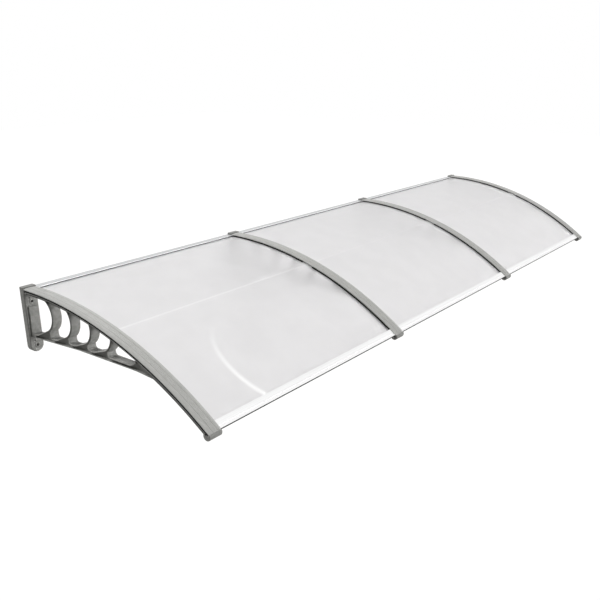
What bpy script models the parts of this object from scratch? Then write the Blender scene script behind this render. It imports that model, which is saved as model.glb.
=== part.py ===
"""A three-bay door canopy: moulded brackets, clamped polycarbonate sheets and extruded edge bars.

Metres, +Z up. The wall is the plane y = 0 and the canopy reaches out towards -Y. X runs along the wall, with
x = 0 at the middle of the middle bay. Heights called lift are measured outwards from the slot line, the arc
that runs through the middle of the sheet slots.
"""
import bpy
import bmesh
from math import asin, atan2, cos, floor, pi, radians, sin
from mathutils import Vector

# Layout
BAY_NAMES = ("left", "middle", "right")
PITCH = 1.000
FIT_GAP = 0.0003
CUT_OVER = 0.010

# Arch
ARCH_RADIUS = 1.383
ARCH_REACH = 0.849
WALL_ANGLE = radians(1.5)
SLOT_RISE = 0.0030
ARC_STEPS = 15
GRID_CLEAR = 0.005

# Sheet slots and beam section
BRACKET_WIDTH = 0.050
SLOT_HEIGHT = 0.006
FLANGE_THICKNESS = 0.0020
PAD_THICKNESS = 0.0065
PAD_MARGIN = 0.0030
PAD_ROOT = 0.0006
FLANGE_INSET = 0.0002
WEB_WIDTH = 0.012
FRAME_WIDTH = 0.034
SPINE_DEPTH = 0.0095
FRONT_SPINE_DEPTH = 0.0155
FRONT_SPINE_REACH = 0.640
END_WALL = 0.0033
STRIP_END_GAP = 0.0006

# Wall plate
PLATE_THICKNESS = 0.022
PLATE_TOP = 0.0115
PLATE_RIM = 0.004
FRAME_ROOT = 0.004
FLANGE_ROOT = 0.006
LOW_HOLE_DROP = 0.1956
TOP_HOLE_DROP = 0.040
WALL_HOLE_RADIUS = 0.0045
HOLE_RING_RADIUS = 0.009
HOLE_RING_HEIGHT = 0.0015
PILOT_RADIUS = 0.0024
PILOT_SIDE = -0.007
LOW_PILOT_RISE = 0.0170
TOP_PILOT_RISE = 0.0130
CORE_DEPTH = 0.016
CORE_WALL = 0.0035
CORE_TOP_MARGIN = 0.008
CORE_LOW_MARGIN = 0.005
CORE_RIB = 0.004
CORE_COUNT = 3

# Lower beam and ribs
BEAM_THICKNESS = 0.012
BEAM_DROP = 0.1505
BEAM_WALL_DROP = 0.164
BEAM_LEVEL_REACH = 0.280
BEAM_FRONT_REACH = 0.560
BEAM_BLEND_RADIUS = 0.4
RIB_COUNT = 4
RIB_PITCH = 0.098
RIB_FIRST_CENTRE = 0.091
RIB_CENTRE_DROP = 0.067
RIB_RADIUS = 0.060
RIB_THICKNESS = 0.008
RIB_CURL = radians(28)
RIB_STEPS = 8
FOOT_REACH = 0.040
FOOT_FLAT = 0.030
FOOT_RADIUS = 0.010
OPENING_RADIUS = 0.006
ROOF_CLEAR = 0.012
UPRIGHT_TOP_DROP = 0.053
UPRIGHT_TOP_REACH = 0.045
UPRIGHT_SLANT = 0.014
UPRIGHT_FOOT_REACH = 0.038
TIP_HEIGHT = 0.0096
TIP_RADIUS = 0.0048
TIP_SLANT = 0.025
ROUND_STEPS = 3

# Nose
NOSE_RADIUS = 0.0140
NOSE_AHEAD = 0.0045
NOSE_RUN = 0.060
NOSE_ROOT = 0.0015
NOSE_OVERLAP = 0.0005
NOSE_STEPS = 16

# Cover strip
STRIP_EDGE = 0.0040
STRIP_CROWN = 0.0012
STRIP_EDGE_ROUND = 0.0012
GROOVE_DEPTH = 0.0010
GROOVE_WIDTH = 0.0020
GROOVE_OFFSET = 0.0095

# Sheets and their crease
SHEET_THICKNESS = 0.003
SHEET_SIDE_GAP = 0.0015
CREASE_REACH = 0.435
CREASE_HALF = 0.024
SEAL_BREAK_HALF = 0.026

# Seals
SEAL_WIDTH = 0.008
SEAL_PROUD = 0.003
OUTER_SEAL_SET_BACK = 0.0005

# Bars and the sockets that take their ends
TENON_LENGTH = 0.012
SOCKET_DEPTH = 0.0128
TENON_LOW = 0.0065
TENON_GAP = 0.0005
FRONT_BAR_BACK = 0.025
FRONT_BAR_FACE = 0.0045
FRONT_BAR_TOP = 0.0040
FRONT_TENON_HALF = 0.005
FRONT_SLOT_END = 0.0015
DRIP_HEIGHT = 0.0102
DRIP_TOP = 0.0020
DRIP_THICKNESS = 0.003
REAR_BAR_DEPTH = 0.0315
REAR_BAR_TOP = 0.0045
REAR_BAR_LOW = 0.0115
REAR_SLOT_DEPTH = 0.006
REAR_SLOT_TOP = 0.0028
REAR_CHAMBER_WALL = 0.0030
REAR_BAR_WALL = 0.0020
REAR_TENON_DEPTH = 0.0085
REAR_SEAL_PROUD = 0.0008
SHEET_EDGE_GAP = 0.0004

# Strip screws
SCREW_COUNT = 3
SCREW_REAR_REACH = 0.085
SCREW_FRONT_INSET = 0.129
SCREW_RADIUS = 0.0020
SCREW_HEAD_RADIUS = 0.0040
SCREW_HEAD_HEIGHT = 0.0024
SCREW_COVER = 0.0015
SCREW_CLEARANCE = 0.0003
HEAD_WELL_RADIUS = 0.0048
HEAD_RECESS = 0.0005

# Values that follow
SLOT_HALF = SLOT_HEIGHT / 2
FLANGE_LOW = -SLOT_HALF - FLANGE_THICKNESS
SPINE_LOW = FLANGE_LOW - SPINE_DEPTH
FRONT_SPINE_LOW = FLANGE_LOW - FRONT_SPINE_DEPTH
HEAD_SEAT = SPINE_LOW + HEAD_RECESS
STRIP_SEAT = SLOT_HALF + FIT_GAP
HALF_WIDTH = BRACKET_WIDTH / 2
SHEET_LOW = -SLOT_HALF + FIT_GAP
SHEET_TOP = SHEET_LOW + SHEET_THICKNESS
CREASE_RISE = SLOT_HEIGHT - SHEET_THICKNESS - 2 * FIT_GAP
SCREW_BITE = STRIP_EDGE + STRIP_CROWN - SCREW_COVER - SCREW_CLEARANCE
CORE_TOP_DROP = TOP_HOLE_DROP + HOLE_RING_RADIUS + CORE_TOP_MARGIN
CORE_LOW_DROP = LOW_HOLE_DROP - LOW_PILOT_RISE - PILOT_RADIUS - CORE_LOW_MARGIN
CORE_HEIGHT = (CORE_LOW_DROP - CORE_TOP_DROP + CORE_RIB) / CORE_COUNT - CORE_RIB
SEAL_LOW = SHEET_TOP + FIT_GAP
SEAL_TOP = SLOT_HALF
SPAN = PITCH - BRACKET_WIDTH - 2 * FIT_GAP
PLATE_FRONT = -PLATE_THICKNESS
END_ANGLE = asin(sin(WALL_ANGLE) - ARCH_REACH / ARCH_RADIUS)
ARCH_CENTRE = (-ARCH_RADIUS * sin(WALL_ANGLE), SLOT_RISE - ARCH_RADIUS * cos(WALL_ANGLE))
SOCKET_LOW = -TENON_LOW - TENON_GAP
SOCKET_TOP = SLOT_HALF
REAR_SOCKET_FRONT = REAR_BAR_DEPTH + TENON_GAP
REAR_SOCKET_BACK = REAR_BAR_DEPTH - REAR_TENON_DEPTH - TENON_GAP
STRIP_AHEAD = FRONT_TENON_HALF + TENON_GAP + END_WALL
SCREW_STEP = (ARCH_REACH - SCREW_FRONT_INSET - SCREW_REAR_REACH) / (SCREW_COUNT - 1)
SCREW_REACHES = [SCREW_REAR_REACH + SCREW_STEP * index for index in range(SCREW_COUNT)]


# The arch
def angle_at(reach):
    return asin(sin(WALL_ANGLE) - reach / ARCH_RADIUS)


def angle_ahead(distance):
    """The angle of a place that lies a distance beyond the slot's end, along the arc."""
    return END_ANGLE - distance / ARCH_RADIUS


def on_arch(angle, lift):
    radius = ARCH_RADIUS + lift
    return (ARCH_CENTRE[0] + radius * sin(angle), ARCH_CENTRE[1] + radius * cos(angle))


STRIP_START = angle_at(PLATE_THICKNESS + FIT_GAP)
STRIP_END = angle_ahead(STRIP_AHEAD)
STEP_ANGLE = (STRIP_END - STRIP_START) / ARC_STEPS
GRID = [STRIP_START + STEP_ANGLE * index for index in range(ARC_STEPS + 1)]
FRONT_TILT = STRIP_END - STEP_ANGLE / 2


def on_facets(angle, lift):
    """A point of the arch as it is built, on the straight facet between two angles of the grid."""
    index = floor((angle - STRIP_START) / STEP_ANGLE)
    if not 0 <= index < ARC_STEPS:
        return on_arch(angle, lift)
    off = angle - STRIP_START - STEP_ANGLE * (index + 0.5)
    radius = (ARCH_RADIUS + lift) * cos(STEP_ANGLE / 2) / cos(off)
    return (ARCH_CENTRE[0] + radius * sin(angle), ARCH_CENTRE[1] + radius * cos(angle))


def at_front(ahead, lift):
    """A point in the straight frame of the slot's end: ahead along the last facet, lift across it."""
    y, z = on_facets(END_ANGLE, 0.0)
    side, up = cos(FRONT_TILT), sin(FRONT_TILT)
    return (y - ahead * side + lift * up, z + ahead * up + lift * side)


def arc_points(lift, start, end, clear=GRID_CLEAR):
    """Points from start to end, on the same facets for every piece that follows the arch."""
    least = clear / ARCH_RADIUS
    inner = [angle for angle in GRID if end + least < angle < start - least]
    return [on_facets(angle, lift) for angle in [start] + inner + [end]]


def arc_band(low, high, start, end):
    return arc_points(high, start, end) + arc_points(low, start, end)[::-1]


# Outlines
def rounded(corners):
    """Replaces each corner (a, b, radius) by a round of that radius, where it has one."""
    points = []
    for index, (a, b, radius) in enumerate(corners):
        here = Vector((a, b))
        if not radius:
            points.append((a, b))
            continue
        back = Vector(corners[index - 1][:2]) - here
        ahead = Vector(corners[(index + 1) % len(corners)][:2]) - here
        half = back.angle(ahead) / 2
        middle = (back.normalized() + ahead.normalized()).normalized()
        reach = radius * cos(half) / sin(half)
        centre = here + middle * radius / sin(half)
        first = here + back.normalized() * reach - centre
        last = here + ahead.normalized() * reach - centre
        for step in range(ROUND_STEPS + 1):
            turn = first.lerp(last, step / ROUND_STEPS).normalized() * radius + centre
            points.append((turn.x, turn.y))
    return points


def sharp(points):
    return [(a, b, 0.0) for a, b in points]


def circle_points(centre, radius, start, end, steps):
    turns = [start + (end - start) * index / steps for index in range(steps + 1)]
    return [(centre[0] + radius * cos(turn), centre[1] + radius * sin(turn)) for turn in turns]


def drop(value):
    """A height given as a drop below the slot line at the wall."""
    return SLOT_RISE - value


# Scene and collections
for old in list(bpy.data.objects):
    bpy.data.objects.remove(old, do_unlink=True)

canopy = bpy.data.collections.new("door_canopy")
cutters = bpy.data.collections.new("cutters")
bpy.context.scene.collection.children.link(canopy)
bpy.context.scene.collection.children.link(cutters)


def material(name, colour, roughness, metallic=0.0):
    made = bpy.data.materials.new(name)
    made.use_nodes = True
    shader = made.node_tree.nodes["Principled BSDF"]
    shader.inputs["Base Color"].default_value = (*colour, 1.0)
    shader.inputs["Roughness"].default_value = roughness
    shader.inputs["Metallic"].default_value = metallic
    return made


GREY_ABS = material("grey_abs", (0.30, 0.30, 0.29), 0.45)
STRIP_GREY = material("strip_grey", (0.46, 0.46, 0.44), 0.40)
SHEET_CLEAR = material("sheet_polycarbonate", (0.78, 0.79, 0.80), 0.15)
ALUMINIUM = material("mill_aluminium", (0.80, 0.80, 0.80), 0.30, 1.0)
BLACK_RUBBER = material("black_rubber", (0.02, 0.02, 0.02), 0.60)
ZINC_STEEL = material("zinc_steel", (0.62, 0.62, 0.60), 0.35, 1.0)


# Making solids
def put(name, mesh, place=(0.0, 0.0, 0.0), finish=None, collection=None):
    made = bpy.data.objects.new(name, mesh)
    made.location = place
    (collection or canopy).objects.link(made)
    if finish:
        mesh.materials.clear()
        mesh.materials.append(finish)
    return made


def helper(made):
    """Marks a cutter or a piece of a union, which is no piece of its own."""
    made.hide_render = True
    made.display_type = "WIRE"
    return made


def extruded(outlines, half, turn, place=(0.0, 0.0, 0.0)):
    """The mesh of flat outlines, the first one outside and the rest holes, as thick as twice half."""
    curve = bpy.data.curves.new("outline", "CURVE")
    curve.dimensions = "2D"
    curve.fill_mode = "BOTH"
    curve.extrude = half
    for points in outlines:
        spline = curve.splines.new("POLY")
        spline.points.add(len(points) - 1)
        for knot, (a, b) in zip(spline.points, points):
            knot.co = (a, b, 0.0, 1.0)
        spline.use_cyclic_u = True
    shape = bpy.data.objects.new("outline", curve)
    shape.rotation_euler = turn
    shape.location = place
    cutters.objects.link(shape)
    bpy.context.view_layer.update()
    graph = bpy.context.evaluated_depsgraph_get()
    mesh = bpy.data.meshes.new_from_object(shape.evaluated_get(graph))
    mesh.transform(shape.matrix_world)
    bpy.data.objects.remove(shape, do_unlink=True)
    clean(mesh)
    return mesh


def clean(mesh):
    """Joins points that lie together and closes the slits, thinner than a hair, that a cut can leave."""
    work = bmesh.new()
    work.from_mesh(mesh)
    bmesh.ops.remove_doubles(work, verts=work.verts, dist=0.000005)
    bmesh.ops.holes_fill(work, edges=[edge for edge in work.edges if edge.is_boundary], sides=4)
    bmesh.ops.recalc_face_normals(work, faces=work.faces)
    work.to_mesh(mesh)
    work.free()


def along_x(outlines, width, centre=0.0):
    """Outlines of (y, z) points, extruded along X."""
    return extruded(outlines, width / 2, (pi / 2, 0.0, pi / 2), (centre, 0.0, 0.0))


def along_y(outline, back, front):
    """An outline of (x, z) points, extruded from y = back to y = front."""
    return extruded([outline], (back - front) / 2, (pi / 2, 0.0, 0.0), (0.0, (back + front) / 2, 0.0))


def rod(radius, start, end, sides=8):
    """A cylinder from one point to another."""
    work = bmesh.new()
    start, end = Vector(start), Vector(end)
    length = (end - start).length
    turn = (end - start).to_track_quat("Z", "Y").to_matrix().to_4x4()
    turn.translation = (start + end) / 2
    bmesh.ops.create_cone(
        work, cap_ends=True, segments=sides, radius1=radius, radius2=radius, depth=length, matrix=turn)
    mesh = bpy.data.meshes.new("rod")
    work.to_mesh(mesh)
    work.free()
    return mesh


def combined(body, others, operation):
    """The mesh of a body joined with others, or with the others cut out of it."""
    target = helper(put("body", body, collection=cutters))
    for index, mesh in enumerate(others):
        tool = helper(put(f"tool_{index}", mesh, collection=cutters))
        step = target.modifiers.new(f"step_{index}", "BOOLEAN")
        step.operation = operation
        step.solver = "EXACT"
        step.object = tool
    bpy.context.view_layer.update()
    graph = bpy.context.evaluated_depsgraph_get()
    mesh = bpy.data.meshes.new_from_object(target.evaluated_get(graph))
    for used in list(cutters.objects):
        bpy.data.objects.remove(used, do_unlink=True)
    clean(mesh)
    return mesh


def arch_tool(radius, angle, low, high, u=0.0):
    """A cylinder that stands square to the arch at an angle, from one lift to another."""
    return rod(radius, (u, *on_arch(angle, low)), (u, *on_arch(angle, high)))


# Bracket: side frame with ribs, lower beam and nose
def rib_centre(index):
    return (-RIB_FIRST_CENTRE - RIB_PITCH * index, drop(RIB_CENTRE_DROP))


def floor_level(y):
    """Top of the lower beam, which falls a little towards the wall."""
    slope = (BEAM_WALL_DROP - BEAM_DROP) / (BEAM_LEVEL_REACH - PLATE_THICKNESS)
    return drop(BEAM_DROP - BEAM_THICKNESS + slope * max(0.0, BEAM_LEVEL_REACH + y))


def meets_spine(centre, radius):
    """The angle round a rib's centre at which its face meets the underside of the spine."""
    spine_radius = ARCH_RADIUS + SPINE_LOW
    away = Vector(centre) - Vector(ARCH_CENTRE)
    along = (spine_radius**2 - radius**2 - away.length_squared) / (2 * radius * away.length)
    return atan2(away.y, away.x) + (pi / 2 - asin(along))


def arch_angle(point):
    return atan2(point[0] - ARCH_CENTRE[0], point[1] - ARCH_CENTRE[1])


def rib_rear_face(index):
    """The rear face of a rib, from the spine down and round to where the floor starts."""
    centre = rib_centre(index)
    return circle_points(centre, RIB_RADIUS, meets_spine(centre, RIB_RADIUS), 1.5 * pi - RIB_CURL, RIB_STEPS)


def rib_front_face(index):
    """The front face of a rib, from its foot up to the spine."""
    centre = rib_centre(index)
    radius = RIB_RADIUS + RIB_THICKNESS
    foot = 1.5 * pi - asin(FOOT_REACH / radius)
    return circle_points(centre, radius, foot, meets_spine(centre, radius), RIB_STEPS - 2)


def opening(index):
    """The opening behind rib number index. The last one lies in front of the last rib."""
    if index == 0:
        upright = drop(UPRIGHT_TOP_DROP)
        start = on_arch(angle_at(PLATE_THICKNESS), SPINE_LOW)
        rear = [
            (-UPRIGHT_FOOT_REACH, floor_level(-UPRIGHT_FOOT_REACH), OPENING_RADIUS),
            (-UPRIGHT_TOP_REACH, upright - UPRIGHT_SLANT, OPENING_RADIUS),
            (-PLATE_THICKNESS, upright, 0.0),
            (-PLATE_THICKNESS, start[1], 0.0),
        ]
        foot = -UPRIGHT_FOOT_REACH
    else:
        face = rib_front_face(index - 1)
        foot = face[0][0]
        rear = [(foot, floor_level(foot), FOOT_RADIUS)] + sharp(face[:-1]) + [(*face[-1], OPENING_RADIUS)]
    if index < RIB_COUNT:
        front = rib_rear_face(index)
        roof = arc_points(SPINE_LOW, arch_angle(rear[-1]), arch_angle(front[0]), ROOF_CLEAR)[1:-1]
        turn = (foot - FOOT_FLAT, floor_level(foot - FOOT_FLAT), FOOT_RADIUS)
        corners = rear + sharp(roof) + [(*front[0], OPENING_RADIUS / 2)] + sharp(front[1:]) + [turn]
    else:
        tip = on_arch(angle_at(BEAM_FRONT_REACH), SPINE_LOW)
        roof = arc_points(SPINE_LOW, arch_angle(rear[-1]), arch_angle(tip), ROOF_CLEAR)[1:-1]
        low_tip = (tip[0], tip[1] - TIP_HEIGHT, TIP_RADIUS)
        turn = (tip[0] + TIP_SLANT, floor_level(tip[0]), FOOT_RADIUS)
        corners = rear + sharp(roof) + [(*tip, 0.0), low_tip, turn]
    return rounded(corners)


def frame_outline():
    """The outer outline of the side frame: over the arch, into the nose and back along the underside."""
    inside_flange = FLANGE_LOW + FLANGE_THICKNESS / 2
    back = PLATE_FRONT + FRAME_ROOT
    top = arc_points(inside_flange, angle_at(-back), angle_ahead(NOSE_AHEAD))
    end = [at_front(NOSE_AHEAD, FRONT_SPINE_LOW + NOSE_OVERLAP)]
    under = arc_points(FRONT_SPINE_LOW, angle_at(FRONT_SPINE_REACH), angle_at(ARCH_REACH - NOSE_RUN))[::-1]
    beam = [
        (-BEAM_FRONT_REACH, drop(BEAM_DROP), BEAM_BLEND_RADIUS),
        (-BEAM_LEVEL_REACH, drop(BEAM_DROP), 0.0),
        (back, drop(BEAM_WALL_DROP), 0.0),
    ]
    return rounded(sharp(top + end + under) + beam)


def side_frame():
    outlines = [frame_outline()] + [opening(index) for index in range(RIB_COUNT + 1)]
    return along_x(outlines, FRAME_WIDTH)


def nose():
    """The round end of the beam, as wide as the strip, with its top just ahead of the strip's end."""
    lift, root = FRONT_SPINE_LOW + NOSE_RADIUS, FLANGE_LOW + NOSE_ROOT
    inside, face = STRIP_AHEAD - END_WALL / 2, STRIP_AHEAD + STRIP_END_GAP
    start = pi / 2 - asin((face - NOSE_AHEAD) / NOSE_RADIUS)
    end = -pi - asin((root - lift) / NOSE_RADIUS)
    shape = [(inside, root), (inside, SLOT_HALF), (face, SLOT_HALF)]
    shape += circle_points((NOSE_AHEAD, lift), NOSE_RADIUS, start, end, NOSE_STEPS)
    return along_x([[at_front(ahead, height) for ahead, height in shape]], BRACKET_WIDTH)


# Bracket: flange, web and wall plate
def root_angle():
    return angle_at(PLATE_THICKNESS - FLANGE_ROOT)


def flange():
    """The lower lip of the sheet slots, with the wall that closes their front end."""
    wall_back = STRIP_AHEAD - END_WALL
    low = arc_points(FLANGE_LOW, root_angle(), angle_ahead(STRIP_AHEAD))
    high = arc_points(-SLOT_HALF, root_angle(), angle_ahead(wall_back))
    wall = [on_arch(angle_ahead(STRIP_AHEAD), SLOT_HALF), on_arch(angle_ahead(wall_back), SLOT_HALF)]
    return along_x([low + wall + high[::-1]], BRACKET_WIDTH - 2 * FLANGE_INSET)


def socket_pads():
    """Thicker places under the sheet slots, where the bar sockets are."""
    low, high = -SLOT_HALF - PAD_THICKNESS, FLANGE_LOW + PAD_ROOT
    width = BRACKET_WIDTH - 4 * FLANGE_INSET
    rear = box_outline(-PLATE_THICKNESS + PAD_MARGIN, -REAR_SOCKET_FRONT - PAD_MARGIN, low, high)
    back, face = -FRONT_TENON_HALF - TENON_GAP - PAD_MARGIN, STRIP_AHEAD - END_WALL / 3
    front = [at_front(back, low), at_front(face, low), at_front(face, high), at_front(back, high)]
    return [along_x([rear], width), along_x([front], width)]


def web():
    overlap = FLANGE_THICKNESS / 3
    end = angle_ahead(STRIP_AHEAD - END_WALL / 3)
    return along_x([arc_band(-SLOT_HALF - overlap, SLOT_HALF, root_angle(), end)], WEB_WIDTH)


def wall_plate():
    """A flat plate with a half-round foot and a rounded front rim."""
    foot = circle_points((0.0, drop(LOW_HOLE_DROP)), HALF_WIDTH, pi, 2 * pi, 12)
    top = drop(-PLATE_TOP)
    mesh = along_y(foot + [(HALF_WIDTH, top), (-HALF_WIDTH, top)], 0.0, PLATE_FRONT)
    work = bmesh.new()
    work.from_mesh(mesh)
    rim = [
        edge for edge in work.edges
        if all(abs(vert.co.y - PLATE_FRONT) < 1e-6 for vert in edge.verts)
        and any(abs(face.normal.y) < 0.5 for face in edge.link_faces)
    ]
    bmesh.ops.bevel(
        work, geom=rim, offset=PLATE_RIM, segments=2, profile=0.5, affect="EDGES", clamp_overlap=True)
    work.to_mesh(mesh)
    work.free()
    return mesh


def plate_rings():
    inside, face = PLATE_FRONT + FRAME_ROOT, PLATE_FRONT - HOLE_RING_HEIGHT
    return [
        rod(HOLE_RING_RADIUS, (0, inside, drop(fall)), (0, face, drop(fall)), 16)
        for fall in (TOP_HOLE_DROP, LOW_HOLE_DROP)
    ]


def plate_cuts():
    """Wall screw holes, pilot holes and the cores that hollow the plate from behind."""
    cuts = []
    before, beyond = CUT_OVER, PLATE_FRONT - CUT_OVER
    for fall in (TOP_HOLE_DROP, LOW_HOLE_DROP):
        cuts.append(rod(WALL_HOLE_RADIUS, (0, before, drop(fall)), (0, beyond, drop(fall)), 12))
    for fall in (TOP_HOLE_DROP - TOP_PILOT_RISE, LOW_HOLE_DROP - LOW_PILOT_RISE):
        cuts.append(rod(PILOT_RADIUS, (PILOT_SIDE, before, drop(fall)), (PILOT_SIDE, beyond, drop(fall)), 8))
    half = HALF_WIDTH - CORE_WALL
    for index in range(CORE_COUNT):
        high = drop(CORE_TOP_DROP + index * (CORE_HEIGHT + CORE_RIB))
        low = high - CORE_HEIGHT
        cuts.append(along_y([(-half, low), (half, low), (half, high), (-half, high)], before, -CORE_DEPTH))
    return cuts


def sockets():
    """The holes in the sides that take the ends of the bars."""
    half = FRONT_TENON_HALF + TENON_GAP
    front = [at_front(-half, SOCKET_LOW), at_front(half, SOCKET_LOW),
             at_front(half, SOCKET_TOP), at_front(-half, SOCKET_TOP)]
    rear = box_outline(-REAR_SOCKET_BACK, -REAR_SOCKET_FRONT, SOCKET_LOW, SOCKET_TOP)
    width = SOCKET_DEPTH + CUT_OVER
    cuts = []
    for side in (-1, 1):
        centre = side * (HALF_WIDTH - SOCKET_DEPTH + width / 2)
        cuts += [along_x([shape], width, centre) for shape in (front, rear)]
    return cuts


def bracket_screw_holes():
    below, above = FRONT_SPINE_LOW - CUT_OVER, SLOT_HALF + CUT_OVER
    cuts = []
    for reach in SCREW_REACHES:
        angle = angle_at(reach)
        cuts.append(arch_tool(SCREW_RADIUS + SCREW_CLEARANCE, angle, below, above))
        cuts.append(arch_tool(HEAD_WELL_RADIUS, angle, below, HEAD_SEAT))
    return cuts


def bracket_mesh():
    parts = socket_pads() + [nose(), flange(), web(), wall_plate()] + plate_rings()
    whole = combined(side_frame(), parts, "UNION")
    return combined(whole, plate_cuts() + sockets() + bracket_screw_holes(), "DIFFERENCE")


# Cover strip
def strip_profile():
    """Half of the strip's section, from the edge to the middle, as (u, lift)."""
    top = STRIP_SEAT + STRIP_EDGE
    points = [
        (HALF_WIDTH, STRIP_SEAT),
        (HALF_WIDTH, top - STRIP_EDGE_ROUND),
        (HALF_WIDTH - STRIP_EDGE_ROUND, top)]
    crown = top + STRIP_CROWN
    outer, inner = GROOVE_OFFSET + GROOVE_WIDTH / 2, GROOVE_OFFSET - GROOVE_WIDTH / 2
    floor_lift = crown - GROOVE_DEPTH
    return points + [(outer, crown), (outer, floor_lift), (inner, floor_lift), (inner, crown)]


def strip_mesh():
    half = strip_profile()
    section = half + [(-u, lift) for u, lift in reversed(half)]
    work = bmesh.new()
    verts = [work.verts.new((u, *on_arch(STRIP_START, lift))) for u, lift in section]
    face = work.faces.new(verts)
    bmesh.ops.spin(
        work, geom=[face], cent=(0.0, *ARCH_CENTRE), axis=(1.0, 0.0, 0.0),
        angle=STRIP_START - STRIP_END, steps=ARC_STEPS, use_duplicate=False)
    bmesh.ops.recalc_face_normals(work, faces=work.faces)
    mesh = bpy.data.meshes.new("strip")
    work.to_mesh(mesh)
    work.free()
    bite = STRIP_SEAT + SCREW_BITE + SCREW_CLEARANCE
    holes = [arch_tool(SCREW_RADIUS + SCREW_CLEARANCE, angle_at(reach), 0.0, bite) for reach in SCREW_REACHES]
    return combined(mesh, holes, "DIFFERENCE")


# Screw that holds the strip down
def screw_mesh(reach):
    angle = angle_at(reach)
    seat = HEAD_SEAT - FIT_GAP
    shank = arch_tool(SCREW_RADIUS, angle, seat - SCREW_HEAD_HEIGHT / 2, STRIP_SEAT + SCREW_BITE)
    head = arch_tool(SCREW_HEAD_RADIUS, angle, seat - SCREW_HEAD_HEIGHT, seat)
    return combined(head, [shank], "UNION")


# Sheet
def crease_lift(angle):
    """How far the sheet stands up near its fold."""
    away = abs(angle - angle_at(CREASE_REACH)) * ARCH_RADIUS / CREASE_HALF
    return CREASE_RISE * max(0.0, 1.0 - away)


def sheet_mesh():
    start = angle_at(REAR_BAR_DEPTH - REAR_SLOT_DEPTH + SHEET_EDGE_GAP)
    end = angle_ahead(-FRONT_SLOT_END - SHEET_EDGE_GAP)
    fold = angle_at(CREASE_REACH)
    half = CREASE_HALF / ARCH_RADIUS
    near = [fold + half, fold + half / 2, fold, fold - half / 2, fold - half]
    least = GRID_CLEAR / ARCH_RADIUS
    inside = [angle for angle in GRID if end + least < angle < start - least]
    grid = [angle for angle in inside if abs(angle - fold) > half + least]
    angles = sorted([start, end] + near + grid, reverse=True)
    top = [on_facets(angle, SHEET_TOP + crease_lift(angle)) for angle in angles]
    low = [on_facets(angle, SHEET_LOW + crease_lift(angle)) for angle in angles]
    width = PITCH - WEB_WIDTH - 2 * SHEET_SIDE_GAP
    return along_x([top + low[::-1]], width)


# Seals in the bracket slots
def seal_mesh(start, end, low, inner, outer):
    return along_x([arc_band(low, SEAL_TOP, start, end)], outer - inner, (inner + outer) / 2)


# Bars
def front_bar_mesh():
    tenon_top = SLOT_HALF - FIT_GAP
    sheet_low, sheet_high = SHEET_LOW - FIT_GAP, SHEET_TOP + FIT_GAP
    rebate = FRONT_BAR_FACE - DRIP_THICKNESS
    section = [
        at_front(-FRONT_BAR_BACK, -TENON_LOW), at_front(rebate, -TENON_LOW), at_front(rebate, DRIP_TOP),
        at_front(FRONT_BAR_FACE, DRIP_TOP), at_front(FRONT_BAR_FACE, FRONT_BAR_TOP),
        at_front(-FRONT_BAR_BACK, FRONT_BAR_TOP)]
    half = FRONT_TENON_HALF
    tenon = [at_front(-half, -TENON_LOW + FIT_GAP), at_front(rebate - FIT_GAP, -TENON_LOW + FIT_GAP),
             at_front(rebate - FIT_GAP, tenon_top), at_front(-half, tenon_top)]
    behind = -FRONT_BAR_BACK - CUT_OVER
    slot = [at_front(behind, sheet_low), at_front(-FRONT_SLOT_END, sheet_low),
            at_front(-FRONT_SLOT_END, sheet_high), at_front(behind, sheet_high)]
    body = combined(along_x([section], SPAN), [along_x([tenon], SPAN + 2 * TENON_LENGTH)], "UNION")
    return combined(body, [along_x([slot], PITCH)], "DIFFERENCE")


def front_seal_mesh():
    back, face = FRONT_BAR_FACE - DRIP_THICKNESS + FIT_GAP, FRONT_BAR_FACE + FIT_GAP
    top = DRIP_TOP - FIT_GAP
    low = top - DRIP_HEIGHT
    section = [at_front(back, low), at_front(face, low), at_front(face, top), at_front(back, top)]
    return along_x([section], SPAN)


def box_outline(back, front, low, high):
    level = on_facets(angle_at(REAR_BAR_DEPTH), 0.0)[1]
    return [(back, level + low), (front, level + low), (front, level + high), (back, level + high)]


def rear_bar_mesh():
    front = -REAR_BAR_DEPTH
    slot_back = front + REAR_SLOT_DEPTH
    section = box_outline(0.0, front, -REAR_BAR_LOW, REAR_BAR_TOP)
    chamber_front = slot_back + REAR_CHAMBER_WALL
    chamber = box_outline(-REAR_CHAMBER_WALL, chamber_front, -REAR_BAR_LOW + REAR_BAR_WALL,
                          REAR_BAR_TOP - REAR_BAR_WALL)
    tenon = box_outline(front + REAR_TENON_DEPTH, front + FIT_GAP, -TENON_LOW, SLOT_HALF - FIT_GAP)
    slot = box_outline(slot_back, front - CUT_OVER, SHEET_LOW - FIT_GAP, REAR_SLOT_TOP)
    body = combined(along_x([section, chamber], SPAN), [along_x([tenon], SPAN + 2 * TENON_LENGTH)], "UNION")
    return combined(body, [along_x([slot], PITCH)], "DIFFERENCE")


def rear_seal_mesh():
    front = -REAR_BAR_DEPTH - REAR_SEAL_PROUD
    back = -REAR_BAR_DEPTH + REAR_SLOT_DEPTH - FIT_GAP
    return along_x([box_outline(back, front, SEAL_LOW, REAR_SLOT_TOP - FIT_GAP)], SPAN)


# Putting the canopy together
bays = len(BAY_NAMES)
bracket_places = [(index - bays / 2) * PITCH for index in range(bays + 1)]
bay_places = [(index - (bays - 1) / 2) * PITCH for index in range(bays)]

bracket = bracket_mesh()
strip = strip_mesh()
screws = [screw_mesh(reach) for reach in SCREW_REACHES]
for number, x in enumerate(bracket_places, 1):
    put(f"bracket_{number}", bracket, (x, 0, 0), GREY_ABS)
    put(f"cover_strip_{number}", strip, (x, 0, 0), STRIP_GREY)
    for order, mesh in enumerate(screws, 1):
        put(f"strip_screw_{number}_{order}", mesh, (x, 0, 0), ZINC_STEEL)

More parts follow.
